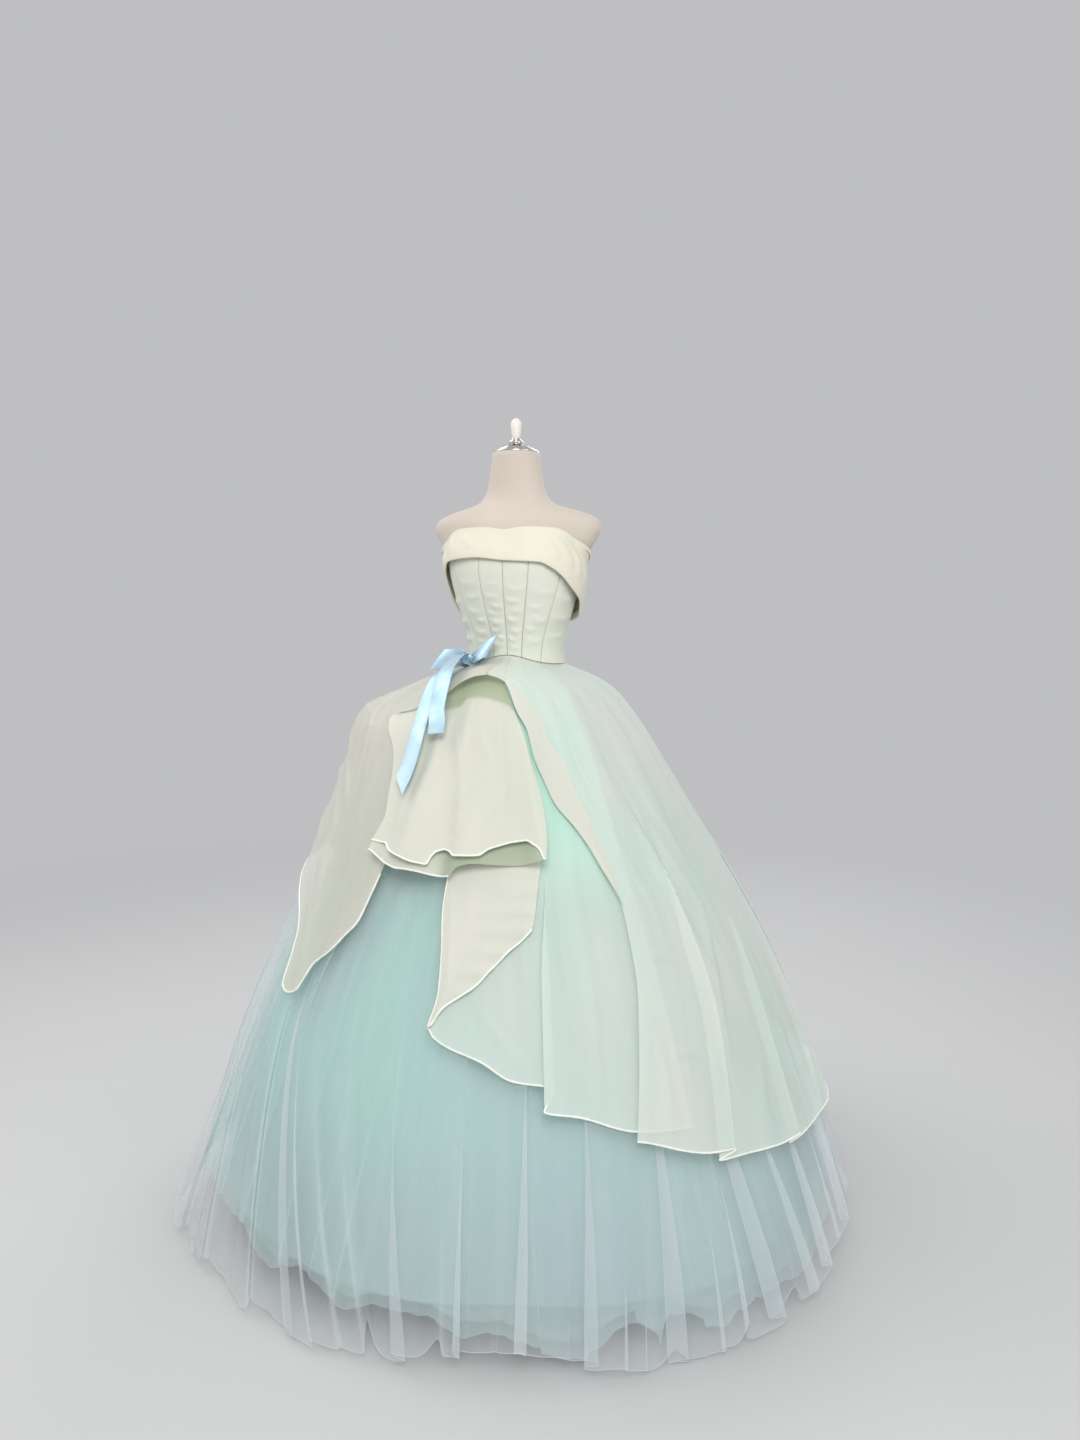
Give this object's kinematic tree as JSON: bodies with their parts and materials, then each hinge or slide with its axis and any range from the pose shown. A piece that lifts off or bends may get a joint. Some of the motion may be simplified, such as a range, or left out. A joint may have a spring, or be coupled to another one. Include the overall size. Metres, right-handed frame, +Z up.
{
  "type": "ball gown on a dress form",
  "caption": "Strapless ball gown with a fold-over cuff, full tulle skirt, draped organza overskirt and ribbon bow at the waist, standing on a limbless dress form.",
  "frame": {"origin": "Centre of the underside of the stand's base, on the upright axis of the dress form.", "axes": "+Z up along the form's axis; the gown's front faces -Y; the gown's own left side is +X."},
  "size_m": [1.4569, 1.4529, 1.707],
  "materials": {
    "bodice_satin": "satin, pale mint ivory",
    "cuff_satin": "lapped cream organza over satin",
    "organza": "sheer off-white organza, rolled hems",
    "tulle": "sheer mint and lavender-grey tulle",
    "underskirt_satin": "mint satin",
    "ribbon": "sky blue satin ribbon",
    "form_jersey": "smooth off-white jersey cover",
    "silver": "polished silver metal",
    "knob_paint": "off-white faceted knob",
    "stand_paint": "off-white paint"
  },
  "bodies": {
    "root": {"bodice_centre_front_left": "bodice_satin", "bodice_front_left": "bodice_satin", "bodice_side_front_left": "bodice_satin", "bodice_side_back_left": "bodice_satin", "bodice_back_left": "bodice_satin", "bodice_centre_front_right": "bodice_satin", "bodice_front_right": "bodice_satin", "bodice_side_front_right": "bodice_satin", "bodice_side_back_right": "bodice_satin", "bodice_back_right": "bodice_satin", "cuff_front": "cuff_satin", "cuff_back_left": "cuff_satin", "cuff_back_right": "cuff_satin", "tulle_outer_1": "tulle", "tulle_outer_2": "tulle", "tulle_outer_3": "tulle", "tulle_outer_4": "tulle", "tulle_outer_5": "tulle", "tulle_outer_6": "tulle", "tulle_outer_7": "tulle", "tulle_outer_8": "tulle", "tulle_middle": "tulle", "tulle_inner": "tulle", "underskirt_1": "underskirt_satin", "underskirt_2": "underskirt_satin", "underskirt_3": "underskirt_satin", "underskirt_4": "underskirt_satin", "underskirt_5": "underskirt_satin", "underskirt_6": "underskirt_satin", "underskirt_7": "underskirt_satin", "underskirt_8": "underskirt_satin", "overskirt_left_front": "organza", "overskirt_right_front": "organza", "overskirt_left_back": "organza", "overskirt_right_back": "organza", "overskirt_edge_facing": "organza", "under_panel": "organza", "under_panel_turnback": "organza", "flounce": "organza", "flounce_underfold": "organza", "bow_knot": "ribbon", "bow_loop_right": "ribbon", "bow_loop_left": "ribbon", "bow_tail_long": "ribbon", "bow_tail_short": "ribbon", "form_torso": "form_jersey", "neck_cap": "silver", "neck_collar": "silver", "neck_knob": "knob_paint", "stand_base": "stand_paint", "stand_pole": "silver"}
  },
  "joints": []
}
